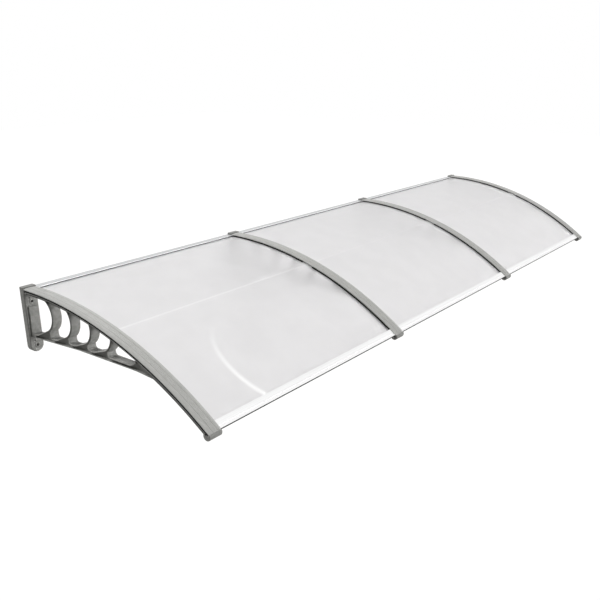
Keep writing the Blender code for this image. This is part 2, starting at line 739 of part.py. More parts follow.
bay_pieces = (
    ("panel", sheet_mesh(), SHEET_CLEAR),
    ("front_bar", front_bar_mesh(), ALUMINIUM),
    ("rear_bar", rear_bar_mesh(), ALUMINIUM),
    ("front_seal", front_seal_mesh(), BLACK_RUBBER),
    ("rear_seal", rear_seal_mesh(), BLACK_RUBBER),
)
for bay, x in zip(BAY_NAMES, bay_places):
    for name, mesh, finish in bay_pieces:
        put(f"{name}_{bay}", mesh, (x, 0, 0), finish)

seal_start = angle_at(REAR_BAR_DEPTH + REAR_SEAL_PROUD + FIT_GAP)
outer_seal_end = angle_ahead(-FRONT_TENON_HALF - TENON_GAP - FIT_GAP)
inner_seal_end = angle_ahead(-FRONT_BAR_BACK - TENON_GAP)
break_rear = angle_at(CREASE_REACH) + SEAL_BREAK_HALF / ARCH_RADIUS
break_front = angle_at(CREASE_REACH) - SEAL_BREAK_HALF / ARCH_RADIUS
deep = HALF_WIDTH - SEAL_WIDTH
outer_face = HALF_WIDTH - OUTER_SEAL_SET_BACK
inner_face = HALF_WIDTH + SEAL_PROUD
for number, side in ((1, -1), (bays + 1, 1)):
    inner, outer = sorted((side * deep, side * outer_face))
    mesh = seal_mesh(seal_start, outer_seal_end, SHEET_LOW, inner, outer)
    put(f"slot_seal_{number}_outer", mesh, (bracket_places[number - 1], 0, 0), BLACK_RUBBER)
for bay, name in enumerate(BAY_NAMES):
    for edge, number, side in (("start", bay, 1), ("end", bay + 1, -1)):
        inner, outer = sorted((side * deep, side * inner_face))
        for half, start, end in (("rear", seal_start, break_rear), ("front", break_front, inner_seal_end)):
            mesh = seal_mesh(start, end, SEAL_LOW, inner, outer)
            put(f"slot_seal_{name}_{edge}_{half}", mesh, (bracket_places[number], 0, 0), BLACK_RUBBER)
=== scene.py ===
"""A three-bay polycarbonate door canopy, put together as it is on a wall: brackets, sheets with their bars
and seals, and the cover strips that clamp the sheets down. Metres, +Z up, the wall in the plane y = 0."""

from math import asin, atan2, cos, pi, radians, sin

import bpy
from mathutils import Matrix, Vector


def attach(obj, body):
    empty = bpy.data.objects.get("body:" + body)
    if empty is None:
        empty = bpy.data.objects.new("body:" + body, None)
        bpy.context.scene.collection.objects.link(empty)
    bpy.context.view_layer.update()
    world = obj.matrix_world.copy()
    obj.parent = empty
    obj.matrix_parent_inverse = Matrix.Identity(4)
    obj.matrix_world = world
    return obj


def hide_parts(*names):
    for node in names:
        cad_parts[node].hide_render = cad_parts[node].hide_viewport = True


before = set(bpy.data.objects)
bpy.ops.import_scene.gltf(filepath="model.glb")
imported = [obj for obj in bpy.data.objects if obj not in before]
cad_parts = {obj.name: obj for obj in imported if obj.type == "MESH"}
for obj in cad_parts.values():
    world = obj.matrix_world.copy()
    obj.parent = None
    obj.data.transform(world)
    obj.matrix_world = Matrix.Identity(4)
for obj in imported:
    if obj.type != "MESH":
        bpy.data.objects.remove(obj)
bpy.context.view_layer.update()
bpy.context.scene.view_settings.view_transform = "Standard"


# Studio
# A pale floor 2.6 m below the wall line, the height at which such a canopy hangs over a door, with a white
# surround. A wide soft lamp hangs above, behind and a little to the left, and a second one stands low in
# front and to the right. The surround gives a little fill.
FLOOR_LEVEL = -2.6
FLOOR_SIZE = 60.0
FLOOR_GREY = "9a9a98"
# What lifts the floor's lit grey to white where it is seen directly
FLOOR_GLOW = 0.73
FILL_LEVEL = 0.10
# Each lamp's name, direction from the canopy, level and width in degrees
LAMPS = (("key_lamp", (-0.32, 0.50, 0.80), 0.95, 30), ("front_lamp", (0.55, -0.83, 0.10), 1.0, 40))
LAMP_DISTANCE = 6
CAMERA_PLACE = (-2.83746, -2.22635, 0.74597)
CAMERA_HEADING = radians(52.75)
CAMERA_DIP = radians(20.75)
CAMERA_SENSOR = 36.0
CAMERA_LENS = 45.194
CAMERA_SHIFT = (-0.02355, 0.06040)


def linear(hex_code):
    """An sRGB hex colour as the linear values that a shader takes."""
    values = [int(hex_code[start:start + 2], 16) / 255 for start in (0, 2, 4)]
    return (*[v / 12.92 if v <= 0.04045 else ((v + 0.055) / 1.055) ** 2.4 for v in values], 1.0)


def add_node(tree, kind, inputs=None, **settings):
    """Adds a node with its settings. An input is a value, or another node's socket to link from."""
    made = tree.nodes.new(kind)
    for name, value in settings.items():
        setattr(made, name, value)
    for name, value in (inputs or {}).items():
        if isinstance(value, bpy.types.NodeSocket):
            tree.links.new(value, made.inputs[name])
        else:
            made.inputs[name].default_value = value
    return made


def new_material(name):
    """An empty material and its node tree."""
    made = bpy.data.materials.new(name)
    made.use_nodes = True
    made.node_tree.nodes.clear()
    return made, made.node_tree


def seen_directly(tree):
    """1 for rays from the camera and for those that polished or clear surfaces send on, otherwise 0."""
    path = add_node(tree, "ShaderNodeLightPath")
    first = add_node(
        tree, "ShaderNodeMath", {0: path.outputs["Is Camera Ray"], 1: path.outputs["Is Glossy Ray"]},
        operation="ADD", use_clamp=True)
    return add_node(
        tree, "ShaderNodeMath", {0: first.outputs[0], 1: path.outputs["Is Transmission Ray"]},
        operation="ADD", use_clamp=True).outputs[0]


surround = bpy.data.worlds.new("white_surround")
surround.use_nodes = True
tree = surround.node_tree
tree.nodes.clear()
fill = add_node(tree, "ShaderNodeBackground", {"Color": (1, 1, 1, 1), "Strength": FILL_LEVEL})
white = add_node(tree, "ShaderNodeBackground", {"Color": (1, 1, 1, 1), "Strength": 1.0})
either = add_node(
    tree, "ShaderNodeMixShader", {0: seen_directly(tree), 1: fill.outputs[0], 2: white.outputs[0]})
add_node(tree, "ShaderNodeOutputWorld", {"Surface": either.outputs[0]})
bpy.context.scene.world = surround

floor_paint, tree = new_material("matt_floor_paint")
grey = add_node(tree, "ShaderNodeBsdfDiffuse", {"Color": linear(FLOOR_GREY)})
lift = add_node(tree, "ShaderNodeMath", {0: seen_directly(tree), 1: FLOOR_GLOW}, operation="MULTIPLY")
glow = add_node(tree, "ShaderNodeEmission", {"Strength": lift.outputs[0]})
both = add_node(tree, "ShaderNodeAddShader", {0: grey.outputs[0], 1: glow.outputs[0]})
add_node(tree, "ShaderNodeOutputMaterial", {"Surface": both.outputs[0]})
bpy.ops.mesh.primitive_plane_add(size=FLOOR_SIZE, location=(0, 0, FLOOR_LEVEL))
floor = bpy.context.object
floor.name = "floor"
floor.data.materials.append(floor_paint)

for name, towards, level, spread in LAMPS:
    bpy.ops.object.light_add(type="SUN", location=Vector(towards) * LAMP_DISTANCE)
    lamp = bpy.context.object
    lamp.name = name
    lamp.rotation_euler = Vector(towards).to_track_quat("Z", "Y").to_euler()
    lamp.data.energy = level * pi
    lamp.data.angle = radians(spread)

bpy.ops.object.camera_add(location=CAMERA_PLACE, rotation=(pi / 2 - CAMERA_DIP, 0, -CAMERA_HEADING))
camera = bpy.context.object
camera.data.sensor_width = CAMERA_SENSOR
camera.data.lens = CAMERA_LENS
camera.data.shift_x, camera.data.shift_y = CAMERA_SHIFT
bpy.context.scene.camera = camera


# Brackets
# Each bracket is one injection moulding in grey ABS: a wall plate, a T-beam bent to the arch, a lower beam,
# four curved ribs between the two and a rounded nose. The frame's sides are cored out to an even wall, as in
# any thick moulding. It is screwed to the wall through the plate's two holes.
BRACKET_PLACES = (-1.5, -0.5, 0.5, 1.5)
BRACKET_WIDTH = 0.050
FRAME_WIDTH = 0.034
MOULDED_EDGE = 0.0012
OVERLAP = 0.001

# The arch runs along the middle of the sheets' slots. A reach is a distance from the wall, and a lift a
# height above the arch, square to it.
ARCH_RADIUS = 1.383
ARCH_REACH = 0.849
WALL_ANGLE = radians(1.5)
SLOT_RISE = 0.0030
SLOT_HALF = 0.0030
FINE_STEP = radians(0.55)
# The CAD solids follow the arch on 15 chords, so the sheets and the front bars lie about half a chord's
# sag below the true arc
CHORD_COUNT = 15
CHORD_DROP = 0.00016

# T-beam
FLANGE_LOW = -0.0050
FLANGE_ROOT = 0.006
FLANGE_INSET = 0.0002
FLANGE_EDGE = 0.0005
WEB_WIDTH = 0.012
WEB_LOW = -0.0037
WEB_SET_BACK = 0.0011
WEB_EDGE = 0.0002
SPINE_LOW = -0.0145
FRONT_SPINE_LOW = -0.0205
FRONT_SPINE_REACH = 0.640
NOSE_SPINE_LOW = FRONT_SPINE_LOW + 0.0005
END_WALL = 0.0033
STRIP_REACH = 0.0223
STRIP_AHEAD = 0.0088
STRIP_END_GAP = 0.0006

# Nose
NOSE_RADIUS = 0.0140
NOSE_AHEAD = 0.0045
NOSE_LIFT = -0.0065
NOSE_ROOT = -0.0035
NOSE_RUN = 0.060
NOSE_STEPS = 48

# Wall plate, with the hollows behind it, whose cutters start CORE_BEHIND inside the wall
PLATE_THICKNESS = 0.022
PLATE_TOP = 0.0145
PLATE_CORNER = 0.0015
PLATE_RIM = 0.004
PLATE_FOOT_STEPS = 40
HOLE_HEIGHTS = (-0.0370, -0.1926)
HOLE_RADIUS = 0.0045
RING_RADIUS = 0.009
RING_HEIGHT = 0.0015
RING_EDGE = 0.0006
PILOT_HEIGHTS = (-0.0240, -0.1756)
PILOT_SIDE = -0.007
PILOT_RADIUS = 0.0024
CORE_TOPS = (-0.0540, -0.0934, -0.1328)
CORE_HEIGHT = 0.0354
CORE_HALF = 0.0215
CORE_DEPTH = 0.016
CORE_BEHIND = 0.020
CORE_CORNER = 0.002

# Lower beam and the upright in front of the plate
FRAME_ROOT = 0.018
BEAM_LOW = -0.1475
BEAM_LOW_AT_WALL = -0.1610
BEAM_THICKNESS = 0.012
BEAM_LEVEL_REACH = 0.280
BEAM_FRONT_REACH = 0.560
BEAM_BLEND_RADIUS = 0.4
UPRIGHT_FRONT = 0.0275
UPRIGHT_TOP = -0.056
UPRIGHT_TOP_ROUND = 0.004
UPRIGHT_TOP_AT_PLATE = -0.050
UPRIGHT_FOOT_ROUND = 0.006

# Ribs and the openings between them
RIB_COUNT = 4
RIB_PITCH = 0.098
RIB_FIRST = 0.091
RIB_CENTRE_HEIGHT = -0.064
RIB_RADIUS = 0.060
RIB_THICKNESS = 0.008
RIB_CURL = radians(28)
RIB_STEPS = 22
RIB_TOP_FRONT_ROUND = 0.006
RIB_TOP_REAR_ROUND = 0.003
FOOT_REACH = 0.040
FOOT_FLAT = 0.030
FOOT_ROUND = 0.010
ROOF_CLEAR = 0.012
TIP_HEIGHT = 0.0096
TIP_ROUND = 0.0048
TIP_SLANT = 0.025

# Pockets in the frame's sides, and the block that is taken off them so that they stop short of the plate
POCKET_DEPTH = 0.010
POCKET_WALL = 0.0018
POCKET_START = 0.046
BLOCK_BACK = 0.02
BLOCK_LOW = -0.3
BLOCK_TOP = 0.1
BLOCK_WIDTH = 0.2

# Sockets for the ends of the bars, and the pads that carry them. Each pair is the rear and the front end.
REAR_LEVEL = 0.0033
REAR_PAD = (0.0190, 0.0350)
FRONT_PAD = (-0.0085, 0.0077)
PAD_LOW = -0.0095
PAD_TOP = -0.0044
PAD_INSET = 0.0004
REAR_SOCKET = (0.0225, 0.0320)
FRONT_SOCKET = (-0.0055, 0.0055)
SOCKET_LOW = -0.0070
SOCKET_WIDTH = 0.0228
SOCKET_SIDE = 0.0236

# Holes for the strip screws, each with a well for the head
SCREW_REACHES = (0.085, 0.4025, 0.720)
SCREW_HOLE_RADIUS = 0.0023
WELL_RADIUS = 0.0048
WELL_TOP = SPINE_LOW + 0.0005
SCREW_CUT_LOW = -0.036
SCREW_CUT_TOP = 0.012

# How far the cutters reach past the plate's front and into the wall
CUT_FRONT = -0.04
CUT_BACK = 0.01
ARCH_CENTRE = (-ARCH_RADIUS * sin(WALL_ANGLE), SLOT_RISE - ARCH_RADIUS * cos(WALL_ANGLE))


def angle_at(reach):
    """The arch's angle at a distance from the wall. Angles fall from the wall to the nose."""
    return asin(sin(WALL_ANGLE) - reach / ARCH_RADIUS)


END_ANGLE = angle_at(ARCH_REACH)


def angle_ahead(distance):
    """The angle of a place that lies a distance beyond the slots' end, along the arc."""
    return END_ANGLE - distance / ARCH_RADIUS


STRIP_START, STRIP_END = angle_at(STRIP_REACH), angle_ahead(STRIP_AHEAD)
FRONT_TILT = STRIP_END - (STRIP_END - STRIP_START) / (2 * CHORD_COUNT)


def on_arch(angle, lift):
    """A point (y, z) on the arch, lifted from the middle of the sheet slots."""
    radius = ARCH_RADIUS + lift
    return (ARCH_CENTRE[0] + radius * sin(angle), ARCH_CENTRE[1] + radius * cos(angle))


def at_front(ahead, lift):
    """A point in the straight frame of the front bar, ahead of the arch's end and lifted from the slot."""
    y, z = on_arch(END_ANGLE, -CHORD_DROP)
    side, up = cos(FRONT_TILT), sin(FRONT_TILT)
    return (y - ahead * side + lift * up, z + ahead * up + lift * side)


def front_box(rear, front, low, high):
    """A rectangle in the straight frame of the front bar, its ends ahead of the arch's end."""
    return [at_front(rear, low), at_front(front, low), at_front(front, high), at_front(rear, high)]


def rear_box(rear, front, low, high):
    """A level rectangle at the wall, its lifts counted from the level of the rear bar's slot."""
    return [(-rear, REAR_LEVEL + low), (-front, REAR_LEVEL + low), (-front, REAR_LEVEL + high),
            (-rear, REAR_LEVEL + high)]


def arch_points(lift, start, end):
    """Points along the arch between two angles."""
    steps = max(1, round(abs(start - end) / FINE_STEP))
    return [on_arch(start + (end - start) * index / steps, lift) for index in range(steps + 1)]


def circle_points(centre, radius, start, end, steps):
    """Points along a circle between two turns."""
    turns = [start + (end - start) * index / steps for index in range(steps + 1)]
    return [(centre[0] + radius * cos(turn), centre[1] + radius * sin(turn)) for turn in turns]


def rounded(corners, steps=6):
    """Gives each corner (a, b, radius) that has a radius a round of it. Plain points inside the round go."""
    spots = [Vector(corner[:2]) for corner in corners]
    count, rounds, gone = len(corners), {}, set()
    spare = 1.05
    for index, (_, _, radius) in enumerate(corners):
        if not radius:
            continue
        before, after = index - 1, index + 1
        while True:
            back, ahead = spots[before % count] - spots[index], spots[after % count] - spots[index]
            half = back.angle(ahead) / 2
            reach = radius * cos(half) / sin(half)
            if back.length < reach * spare and not corners[before % count][2]:
                before -= 1
            elif ahead.length < reach * spare and not corners[after % count][2]:
                after += 1
            else:
                break
        gone |= {spot % count for spot in range(before + 1, after)}
        centre = spots[index] + (back.normalized() + ahead.normalized()).normalized() * radius / sin(half)
        first = spots[index] + back.normalized() * reach - centre
        last = spots[index] + ahead.normalized() * reach - centre
        rounds[index] = [
            tuple(first.lerp(last, step / steps).normalized() * radius + centre) for step in range(steps + 1)]
    points = []
    for index, spot in enumerate(spots):
        points += rounds[index] if index in rounds else [] if index in gone else [tuple(spot)]
    return points


def sharp(points):
    """Corners without a round, for an outline that has rounds elsewhere."""
    return [(a, b, 0.0) for a, b in points]


def only(piece):
    """Selects this one object and nothing else."""
    bpy.ops.object.select_all(action="DESELECT")
    piece.select_set(True)
    bpy.context.view_layer.objects.active = piece


def moulded(name, outlines, width, edge, turn=(pi / 2, 0, pi / 2), place=(0, 0, 0), inset=0.0):
    """A solid as wide as given, with round edges, from a flat outline and the outlines of its openings."""
    curve = bpy.data.curves.new(name, "CURVE")
    curve.dimensions, curve.fill_mode = "2D", "BOTH"
    curve.extrude, curve.bevel_depth, curve.bevel_resolution = width / 2 - edge, edge, 1
    curve.offset = -edge - inset
    for points in outlines:
        spline = curve.splines.new("POLY")
        spline.points.add(len(points) - 1)
        for knot, (a, b) in zip(spline.points, points):
            knot.co = (a, b, 0, 1)
        spline.use_cyclic_u = True
    made = bpy.data.objects.new(name, curve)
    bpy.context.scene.collection.objects.link(made)
    made.rotation_euler, made.location = turn, place
    only(made)
    bpy.ops.object.convert(target="MESH")
    bpy.ops.object.transform_apply()
    bpy.ops.object.mode_set(mode="EDIT")
    bpy.ops.mesh.select_all(action="SELECT")
    bpy.ops.mesh.remove_doubles(threshold=0.00002)
    bpy.ops.mesh.normals_make_consistent(inside=False)
    bpy.ops.object.mode_set(mode="OBJECT")
    return bpy.context.object


def combine(piece, others, operation):
    """Joins the others to the piece, or cuts them out of it, and removes them."""
    for other in others:
        step = piece.modifiers.new("step", "BOOLEAN")
        step.operation, step.solver, step.object = operation, "EXACT", other
        only(piece)
        bpy.ops.object.modifier_apply(modifier="step")
        bpy.data.objects.remove(other, do_unlink=True)
    return piece


def smooth(piece, angle=radians(38)):
    """Shades the piece smooth, apart from edges sharper than the angle."""
    only(piece)
    bpy.ops.object.shade_smooth_by_angle(angle=angle)
    even = piece.modifiers.new("even", "WEIGHTED_NORMAL")
    even.keep_sharp = True
    bpy.ops.object.modifier_apply(modifier="even")


def pin(radius, start, end, edge=0.0, sides=32):
    """A round bar between two points, its edges rounded where edge is given."""
    start, end = Vector(start), Vector(end)
    turn = (end - start).to_track_quat("Z", "Y").to_euler()
    bpy.ops.mesh.primitive_cylinder_add(
        vertices=sides, radius=radius, depth=(end - start).length, location=(start + end) / 2, rotation=turn)
    made = bpy.context.object
    only(made)
    bpy.ops.object.transform_apply()
    if edge:
        soft = made.modifiers.new("soft", "BEVEL")
        soft.width, soft.segments, soft.limit_method = edge, 3, "ANGLE"
        bpy.ops.object.modifier_apply(modifier="soft")
    return made


def rib_face(index, extra, foot_turn):
    """One face of a curved rib, from the arch's spine round to its foot."""
    centre = (-RIB_FIRST - RIB_PITCH * index, RIB_CENTRE_HEIGHT)
    radius = RIB_RADIUS + extra
    spine = ARCH_RADIUS + SPINE_LOW
    away = Vector(centre) - Vector(ARCH_CENTRE)
    along = (spine**2 - radius**2 - away.length_squared) / (2 * radius * away.length)
    top = atan2(away.y, away.x) + pi / 2 - asin(along)
    return circle_points(centre, radius, top, foot_turn, RIB_STEPS)


def beam_top(y):
    """The lower beam's upper face, which falls a little towards the wall."""
    slope = (BEAM_LOW - BEAM_LOW_AT_WALL) / (BEAM_LEVEL_REACH - PLATE_THICKNESS)
    return BEAM_LOW + BEAM_THICKNESS - slope * max(0.0, BEAM_LEVEL_REACH + y)


def spine_between(start, end):
    """The spine's underside between two points, a little short of both."""
    angles = [atan2(y - ARCH_CENTRE[0], z - ARCH_CENTRE[1]) for y, z in (start[:2], end[:2])]
    clear = ROOF_CLEAR / ARCH_RADIUS
    return arch_points(SPINE_LOW, angles[0] - clear, angles[1] + clear)


def opening(index):
    """The opening behind a rib, or the long one in front of the last rib."""
    if index == 0:
        rear = [
            (-UPRIGHT_FRONT, beam_top(-UPRIGHT_FRONT), UPRIGHT_FOOT_ROUND),
            (-UPRIGHT_FRONT, UPRIGHT_TOP, UPRIGHT_TOP_ROUND), (-PLATE_THICKNESS, UPRIGHT_TOP_AT_PLATE, 0.0),
            (*on_arch(angle_at(PLATE_THICKNESS), SPINE_LOW), 0.0)]
        foot = -UPRIGHT_FRONT
    else:
        radius = RIB_RADIUS + RIB_THICKNESS
        face = rib_face(index - 1, RIB_THICKNESS, 1.5 * pi - asin(FOOT_REACH / radius))[::-1]
        foot = face[0][0]
        rear = [(foot, beam_top(foot), FOOT_ROUND)] + sharp(face[:-1]) + [(*face[-1], RIB_TOP_FRONT_ROUND)]
    if index < RIB_COUNT:
        front = rib_face(index, 0.0, 1.5 * pi - RIB_CURL)
        roof = spine_between(rear[-1], front[0])
        low = (foot - FOOT_FLAT, beam_top(foot - FOOT_FLAT), FOOT_ROUND)
        return rounded(rear + sharp(roof) + [(*front[0], RIB_TOP_REAR_ROUND)] + sharp(front[1:]) + [low])
    tip = on_arch(angle_at(BEAM_FRONT_REACH), SPINE_LOW)
    roof = spine_between(rear[-1], tip)
    low = [(tip[0], tip[1] - TIP_HEIGHT, TIP_ROUND), (tip[0] + TIP_SLANT, beam_top(tip[0]), FOOT_ROUND)]
    return rounded(rear + sharp(roof) + [(*tip, 0.0)] + low)


def side_outline():
    """Over the arch, into the nose and back along the underside of the lower beam."""
    top = arch_points(FLANGE_LOW + OVERLAP, angle_at(FRAME_ROOT), angle_ahead(NOSE_AHEAD))
    end = [at_front(NOSE_AHEAD, NOSE_SPINE_LOW)]
    under = arch_points(FRONT_SPINE_LOW, angle_at(FRONT_SPINE_REACH), angle_at(ARCH_REACH - NOSE_RUN))[::-1]
    beam = [(-BEAM_FRONT_REACH, BEAM_LOW, BEAM_BLEND_RADIUS), (-BEAM_LEVEL_REACH, BEAM_LOW, 0.0),
            (-FRAME_ROOT, BEAM_LOW_AT_WALL, 0.0)]
    return rounded(sharp(top + end + under) + beam)


def nose():
    """The round end of the beam, as wide as the strip, its top just ahead of the strip's end."""
    inside, face = STRIP_AHEAD - END_WALL / 2, STRIP_AHEAD + STRIP_END_GAP
    start = pi / 2 - asin((face - NOSE_AHEAD) / NOSE_RADIUS)
    end = -pi - asin((NOSE_ROOT - NOSE_LIFT) / NOSE_RADIUS)
    shape = [(inside, NOSE_ROOT), (inside, SLOT_HALF), (face, SLOT_HALF)]
    shape += circle_points((NOSE_AHEAD, NOSE_LIFT), NOSE_RADIUS, start, end, NOSE_STEPS)
    return moulded("nose", [[at_front(ahead, lift) for ahead, lift in shape]], BRACKET_WIDTH, MOULDED_EDGE)


def flange():
    """The ledge under the sheets' slots, with the wall that closes their front end."""
    root, wall_back = angle_at(PLATE_THICKNESS - FLANGE_ROOT), angle_ahead(STRIP_AHEAD - END_WALL)
    low = arch_points(FLANGE_LOW, root, STRIP_END)
    high = arch_points(-SLOT_HALF, root, wall_back)
    end = [on_arch(STRIP_END, SLOT_HALF), on_arch(wall_back, SLOT_HALF)]
    return moulded("flange", [low + end + high[::-1]], BRACKET_WIDTH - 2 * FLANGE_INSET, FLANGE_EDGE)


def web():
    """The wall between the two slots, on which the cover strip lies."""
    root, end = angle_at(PLATE_THICKNESS - FLANGE_ROOT), angle_ahead(STRIP_AHEAD - WEB_SET_BACK)
    outline = arch_points(SLOT_HALF, root, end) + arch_points(WEB_LOW, root, end)[::-1]
    return moulded("web", [outline], WEB_WIDTH, WEB_EDGE)


def socket_pads():
    """Thicker places under the slots, which take the ends of the bars."""
    shapes = rear_box(*REAR_PAD, PAD_LOW, PAD_TOP), front_box(*FRONT_PAD, PAD_LOW, PAD_TOP)
    return [moulded("pad", [shape], BRACKET_WIDTH - 2 * PAD_INSET, FLANGE_EDGE) for shape in shapes]


def select_faces(piece, wanted):
    """Goes into edit mode with just the wanted faces selected."""
    only(piece)
    bpy.ops.object.mode_set(mode="EDIT")
    bpy.ops.mesh.select_mode(type="FACE")
    bpy.ops.mesh.select_all(action="DESELECT")
    bpy.ops.object.mode_set(mode="OBJECT")
    for face in piece.data.polygons:
        face.select = wanted(face)
    bpy.ops.object.mode_set(mode="EDIT")


def wall_plate():
    """A plate with a half-round foot, its front rim rounded."""
    half = BRACKET_WIDTH / 2
    foot = (0, HOLE_HEIGHTS[1])
    head = [(half, PLATE_TOP, PLATE_CORNER), (-half, PLATE_TOP, PLATE_CORNER)]
    outline = circle_points(foot, half, pi, 2 * pi, PLATE_FOOT_STEPS) + rounded(head + sharp([foot]))[:-1]
    plate = moulded("plate", [outline], PLATE_THICKNESS, 0.0, (pi / 2, 0, 0), (0, -PLATE_THICKNESS / 2, 0))
    select_faces(plate, lambda face: face.normal.y < -0.9)
    bpy.ops.mesh.region_to_loop()
    bpy.ops.mesh.bevel(offset=PLATE_RIM, segments=5, profile=0.5, affect="EDGES")
    bpy.ops.object.mode_set(mode="OBJECT")
    return plate


def plate_cuts():
    """The wall holes, the pilot holes beside them and the hollows behind the plate."""
    cuts = [pin(HOLE_RADIUS, (0, CUT_BACK, z), (0, CUT_FRONT, z)) for z in HOLE_HEIGHTS]
    cuts += [pin(PILOT_RADIUS, (PILOT_SIDE, CUT_BACK, z), (PILOT_SIDE, CUT_FRONT, z), sides=20)
             for z in PILOT_HEIGHTS]
    length, middle = CORE_DEPTH + CORE_BEHIND, (CORE_BEHIND - CORE_DEPTH) / 2
    for top in CORE_TOPS:
        low = top - CORE_HEIGHT
        corners = (-CORE_HALF, low), (CORE_HALF, low), (CORE_HALF, top), (-CORE_HALF, top)
        shape = rounded([(x, z, CORE_CORNER) for x, z in corners])
        cuts.append(moulded("core", [shape], length, 0.0, (pi / 2, 0, 0), (0, middle, 0)))
    return cuts


def bracket_cuts():
    """Sockets in the sides for the ends of the bars, and the holes of the strip screws."""
    shapes = front_box(*FRONT_SOCKET, SOCKET_LOW, SLOT_HALF), rear_box(*REAR_SOCKET, SOCKET_LOW, SLOT_HALF)
    cuts = []
    for side in (-1, 1):
        for shape in shapes:
            cuts.append(moulded("socket", [shape], SOCKET_WIDTH, 0.0, place=(side * SOCKET_SIDE, 0, 0)))
    for reach in SCREW_REACHES:
        angle = angle_at(reach)
        for radius, top in ((SCREW_HOLE_RADIUS, SCREW_CUT_TOP), (WELL_RADIUS, WELL_TOP)):
            cuts.append(pin(radius, (0, *on_arch(angle, SCREW_CUT_LOW)), (0, *on_arch(angle, top)), sides=24))
    return cuts


frame_shape = [side_outline()] + [opening(index) for index in range(RIB_COUNT + 1)]
bracket = moulded("bracket", frame_shape, FRAME_WIDTH, MOULDED_EDGE)
block = [(BLOCK_BACK, BLOCK_LOW), (-POCKET_START, BLOCK_LOW), (-POCKET_START, BLOCK_TOP),
         (BLOCK_BACK, BLOCK_TOP)]
for side in (-1, 1):
    pocket = moulded("pocket", frame_shape, 2 * POCKET_DEPTH, 0.0, place=(side * FRAME_WIDTH / 2, 0, 0),
                     inset=POCKET_WALL)
    combine(pocket, [moulded("block", [block], BLOCK_WIDTH, 0.0)], "DIFFERENCE")
    combine(bracket, [pocket], "DIFFERENCE")
rings = [
    pin(RING_RADIUS, (0, -FRAME_ROOT, z), (0, -PLATE_THICKNESS - RING_HEIGHT, z), RING_EDGE, sides=40)
    for z in HOLE_HEIGHTS]
combine(bracket, socket_pads() + [nose(), flange(), web(), wall_plate()] + rings, "UNION")
combine(bracket, plate_cuts() + bracket_cuts(), "DIFFERENCE")
smooth(bracket)

# Most noise lies between these values
NOISE_LOW, NOISE_HIGH = 0.35, 0.65


def spots(tree, size, stretch=(1, 1, 1), detail=3.0):
    """Noise in the object's own space, its spots about size metres wide and longer where stretch says so."""
    place = add_node(tree, "ShaderNodeTexCoord").outputs["Object"]
    pulled = add_node(
        tree, "ShaderNodeMapping", {"Vector": place, "Scale": [1 / factor for factor in stretch]})
    return add_node(tree, "ShaderNodeTexNoise", {
        "Vector": pulled.outputs[0], "Scale": 1 / size, "Detail": detail}).outputs["Fac"]


def clouded(tree, noise, first, second):
    """The first tone where the noise is low, the second where it is high, and a soft change between."""
    share = add_node(
        tree, "ShaderNodeMapRange", {"Value": noise, "From Min": NOISE_LOW, "From Max": NOISE_HIGH})
    return add_node(
        tree, "ShaderNodeMix", {"Factor": share.outputs[0], 6: linear(first), 7: linear(second)},
        data_type="RGBA").outputs[2]


def finished(name, tones, cloud, grain, depth, roughness, stretch=(1, 1, 1), sockets=None):
    """A Principled material of two tones in soft clouds, with a fine grain that is felt in bump and gloss."""
    made, tree = new_material(name)
    drift, fine = spots(tree, cloud, stretch), spots(tree, grain, stretch, 2.0)
    bump = add_node(tree, "ShaderNodeBump", {"Height": fine, "Distance": depth, "Strength": 1.0})
    dullness = add_node(tree, "ShaderNodeMapRange", {
        "Value": fine, "From Min": NOISE_LOW, "From Max": NOISE_HIGH, "To Min": roughness[0],
        "To Max": roughness[1]})
    shader = add_node(tree, "ShaderNodeBsdfPrincipled", {
        "Base Color": clouded(tree, drift, *tones), "Roughness": dullness.outputs[0],
        "Normal": bump.outputs[0], **(sockets or {})})
    add_node(tree, "ShaderNodeOutputMaterial", {"Surface": shader.outputs[0]})
    return made


# ABS from a spark-eroded mould: a dull satin with faint clouds in the grey.
abs_plastic = finished(
    "moulded_abs", tones=("838380", "92928f"), cloud=0.012, grain=0.0011, depth=0.00006,
    roughness=(0.46, 0.60), sockets={"IOR": 1.53, "Specular IOR Level": 0.2})


def placed_copies(model, places, names, material, replaced):
    """Copies a piece to each place, each copy with its own mesh, and hides the CAD nodes it stands for."""
    for x, name, nodes in zip(places, names, replaced):
        mesh = model.data.copy()
        piece = bpy.data.objects.new(name, mesh)
        bpy.context.scene.collection.objects.link(piece)
        piece.location.x = x
        only(piece)
        bpy.ops.object.transform_apply()
        mesh.materials.clear()
        mesh.materials.append(material)
        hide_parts(*nodes)
        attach(piece, "root")
    bpy.data.objects.remove(model, do_unlink=True)


numbers = range(1, len(BRACKET_PLACES) + 1)
placed_copies(bracket, BRACKET_PLACES, [f"bracket_moulding_{n}" for n in numbers], abs_plastic,
              [[f"bracket_{n}"] for n in numbers])


# Sheets
# Each bay is closed by one 3 mm sheet of frosted polycarbonate, cut flat and bent over the brackets' slots.
# A fold across the middle, where the sheet was folded for packing, still stands up as a low crease.
BAY_NAMES, BAY_PLACES = ("left", "middle", "right"), (-1.0, 0.0, 1.0)
SHEET_WIDTH = 0.985
SHEET_LOW = -0.0027
SHEET_TOP = 0.0003
SHEET_START_REACH = 0.0259
SHEET_SHORT = 0.0019
SHEET_STEPS = 90
CREASE_REACH = 0.435
CREASE_HALF = 0.024
CREASE_RISE = 0.0024
CREASE_SHARES = (1.0, 0.75, 0.5, 0.25, 0.06, 0.0, -0.06, -0.25, -0.5, -0.75, -1.0)
CREASE_CLEAR = 1.15


